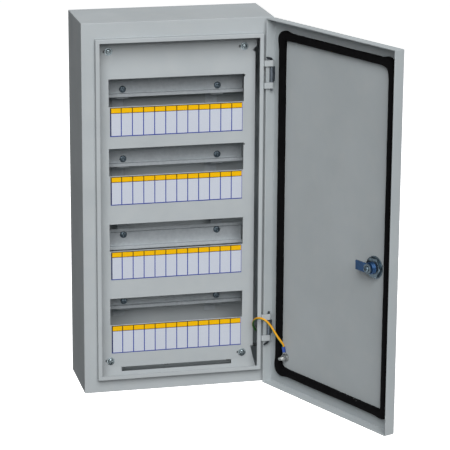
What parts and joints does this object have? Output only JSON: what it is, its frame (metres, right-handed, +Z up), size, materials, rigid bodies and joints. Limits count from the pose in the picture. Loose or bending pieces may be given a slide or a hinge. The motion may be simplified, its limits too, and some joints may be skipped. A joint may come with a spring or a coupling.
{
  "type": "breaker panel box",
  "caption": "Wall-mounted sheet-steel breaker panel box, shown open: hinged gasketed door with cam lock, slotted inner panel over DIN rails, gland plate and earth bonding wire.",
  "frame": {"origin": "centre of the back face, midway between the four wall fixing holes", "axes": "+X to the right as the open box is faced, +Y into the wall, +Z up; the door opens about an upright pin line at the right"},
  "size_m": [0.4366, 0.4107, 0.61],
  "materials": {
    "box_enamel": "fine-textured light grey powder coat",
    "door_enamel": "fine-textured light grey powder coat",
    "rail_zinc": "dull zinc plate",
    "zinc_plate": "bright zinc plate",
    "blue_zinc": "blue-passivated zinc",
    "dark_steel": "blackened steel",
    "bar_brass": "plain rolled brass",
    "foam_seal": "matte closed-cell foam",
    "seal_rubber": "matte sheet rubber",
    "grommet_rubber": "matte moulded rubber",
    "label_card": "printed self-adhesive film",
    "support_blue": "moulded nylon",
    "support_green": "moulded nylon",
    "wire_sheath": "extruded vinyl, green with a yellow stripe",
    "sleeve_vinyl": "soft vinyl"
  },
  "bodies": {
    "enclosure": {"enclosure_shell": "box_enamel", "gland_plate": "box_enamel", "gland_plate_seal": "seal_rubber", "gland_plate_screws": "zinc_plate", "cable_grommets": "grommet_rubber", "hinge_arms_upper": "box_enamel", "hinge_arms_lower": "box_enamel", "hinge_pin_upper": "zinc_plate", "hinge_pin_lower": "zinc_plate", "rail_bracket_1_left": "rail_zinc", "rail_bracket_1_right": "rail_zinc", "rail_bracket_2_left": "rail_zinc", "rail_bracket_2_right": "rail_zinc", "rail_bracket_3_left": "rail_zinc", "rail_bracket_3_right": "rail_zinc", "rail_bracket_4_left": "rail_zinc", "rail_bracket_4_right": "rail_zinc", "din_rail_1": "rail_zinc", "din_rail_2": "rail_zinc", "din_rail_3": "rail_zinc", "din_rail_4": "rail_zinc", "din_rail_screws": "zinc_plate", "panel_pillars": "zinc_plate", "inner_panel": "box_enamel", "panel_screws": "zinc_plate", "panel_washers": "zinc_plate", "label_strip_1": "label_card", "label_strip_2": "label_card", "label_strip_3": "label_card", "label_strip_4": "label_card", "neutral_bar": "bar_brass", "neutral_bar_supports": "support_blue", "neutral_bar_screws": "zinc_plate", "earth_bar": "bar_brass", "earth_bar_supports": "support_green", "earth_bar_screws": "zinc_plate", "body_earth_stud": "zinc_plate", "body_earth_washer": "zinc_plate", "body_earth_nut": "zinc_plate", "body_ring_terminal": "zinc_plate", "body_terminal_sleeve": "sleeve_vinyl", "earth_wire": "wire_sheath"},
    "door": {"door_tray": "door_enamel", "door_gasket": "foam_seal", "door_bracket_upper": "blue_zinc", "door_bracket_lower": "blue_zinc", "lock_housing": "blue_zinc", "lock_washer": "zinc_plate", "lock_nut": "zinc_plate", "door_earth_stud": "zinc_plate", "door_earth_washer": "zinc_plate", "door_earth_nut": "zinc_plate", "door_ring_terminal": "zinc_plate", "door_terminal_sleeve": "sleeve_vinyl"},
    "lock_rotor": {"lock_core": "zinc_plate", "lock_cam": "blue_zinc", "cam_washer": "dark_steel", "cam_screw": "zinc_plate"}
  },
  "joints": [
    {"name": "door_hinge", "type": "hinge", "parent": "enclosure", "child": "door", "pos_m": [0.1495, -0.13, 0], "axis": [0, 0, 1], "range_deg": [-114, 5], "deforming": ["earth_wire"]},
    {"name": "lock_turn", "type": "hinge", "parent": "door", "child": "lock_rotor", "pos_m": [0.26047, -0.35589, -0.046], "axis": [-0.9135, -0.4067, 0], "range_deg": [0, 180]}
  ]
}
